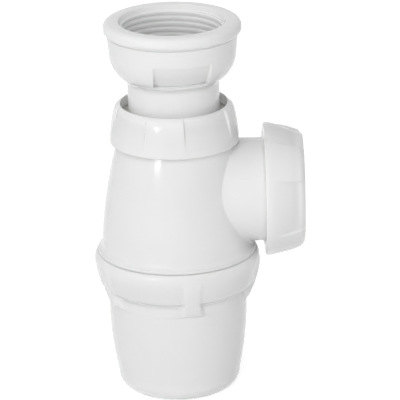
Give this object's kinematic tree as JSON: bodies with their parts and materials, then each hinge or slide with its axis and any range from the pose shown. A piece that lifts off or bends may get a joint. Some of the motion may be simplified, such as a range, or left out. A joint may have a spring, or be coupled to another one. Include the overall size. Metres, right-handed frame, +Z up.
{
  "type": "bottle trap",
  "caption": "Basin bottle trap with a threaded inlet on a sliding dip tube, a side outlet for a waste pipe and a screw-off cup that holds the water seal.",
  "frame": {"origin": "centre of the cup's flat underside, on the bottle's axis", "axes": "+Z up along the bottle towards the inlet, +X along the outlet towards the waste pipe"},
  "size_m": [0.0828, 0.0655, 0.1514],
  "materials": {
    "white_plastic": "glossy white moulded plastic",
    "cup_plastic": "glossy white moulded plastic",
    "nut_plastic": "glossy white moulded plastic",
    "ring_plastic": "smooth white low-friction plastic",
    "rubber": "matt black rubber"
  },
  "bodies": {
    "body": {"trap_body": "white_plastic", "outlet_cone_seal": "rubber"},
    "cup_washer_ring": {"cup_washer": "rubber"},
    "cup": {"bottle_cup": "cup_plastic"},
    "tube_seal": {"tube_cone_seal": "rubber"},
    "inlet": {"inlet_tube": "white_plastic", "inlet_gasket": "rubber"},
    "tube_ring": {"tube_slip_ring": "ring_plastic"},
    "tube_nut": {"compression_nut": "nut_plastic"},
    "outlet_ring": {"outlet_slip_ring": "ring_plastic"},
    "pipe_nut": {"outlet_nut": "nut_plastic"}
  },
  "joints": [
    {"name": "cup_drop", "type": "slide", "parent": "body", "child": "cup_washer_ring", "axis": [0, 0, -1], "range_m": [0, 0.0091]},
    {"name": "cup_unscrew", "type": "hinge", "parent": "cup_washer_ring", "child": "cup", "pos_m": [0, 0, 0], "axis": [0, 0, -1], "range_deg": [0, 1080]},
    {"name": "tube_swivel", "type": "hinge", "parent": "body", "child": "tube_seal", "pos_m": [0, 0, 0.1025], "axis": [0, 0, 1], "continuous": true},
    {"name": "tube_height", "type": "slide", "parent": "tube_seal", "child": "inlet", "axis": [0, 0, 1], "range_m": [-0.003, 0.035]},
    {"name": "tube_nut_lift", "type": "slide", "parent": "body", "child": "tube_ring", "axis": [0, 0, 1], "range_m": [0, 0.0069]},
    {"name": "tube_nut_unscrew", "type": "hinge", "parent": "tube_ring", "child": "tube_nut", "pos_m": [0, 0, 0.1025], "axis": [0, 0, 1], "range_deg": [0, 990]},
    {"name": "outlet_nut_shift", "type": "slide", "parent": "body", "child": "outlet_ring", "axis": [1, 0, 0], "range_m": [0, 0.0069]},
    {"name": "outlet_nut_unscrew", "type": "hinge", "parent": "outlet_ring", "child": "pipe_nut", "pos_m": [0.0347, 0, 0.0811], "axis": [1, 0, 0], "range_deg": [0, 990]}
  ],
  "couplings": [
    {"joint": "cup_drop", "follows": "cup_unscrew", "m_per_rad": 0.00047746},
    {"joint": "tube_nut_lift", "follows": "tube_nut_unscrew", "m_per_rad": 0.00039789},
    {"joint": "outlet_nut_shift", "follows": "outlet_nut_unscrew", "m_per_rad": 0.00039789}
  ]
}
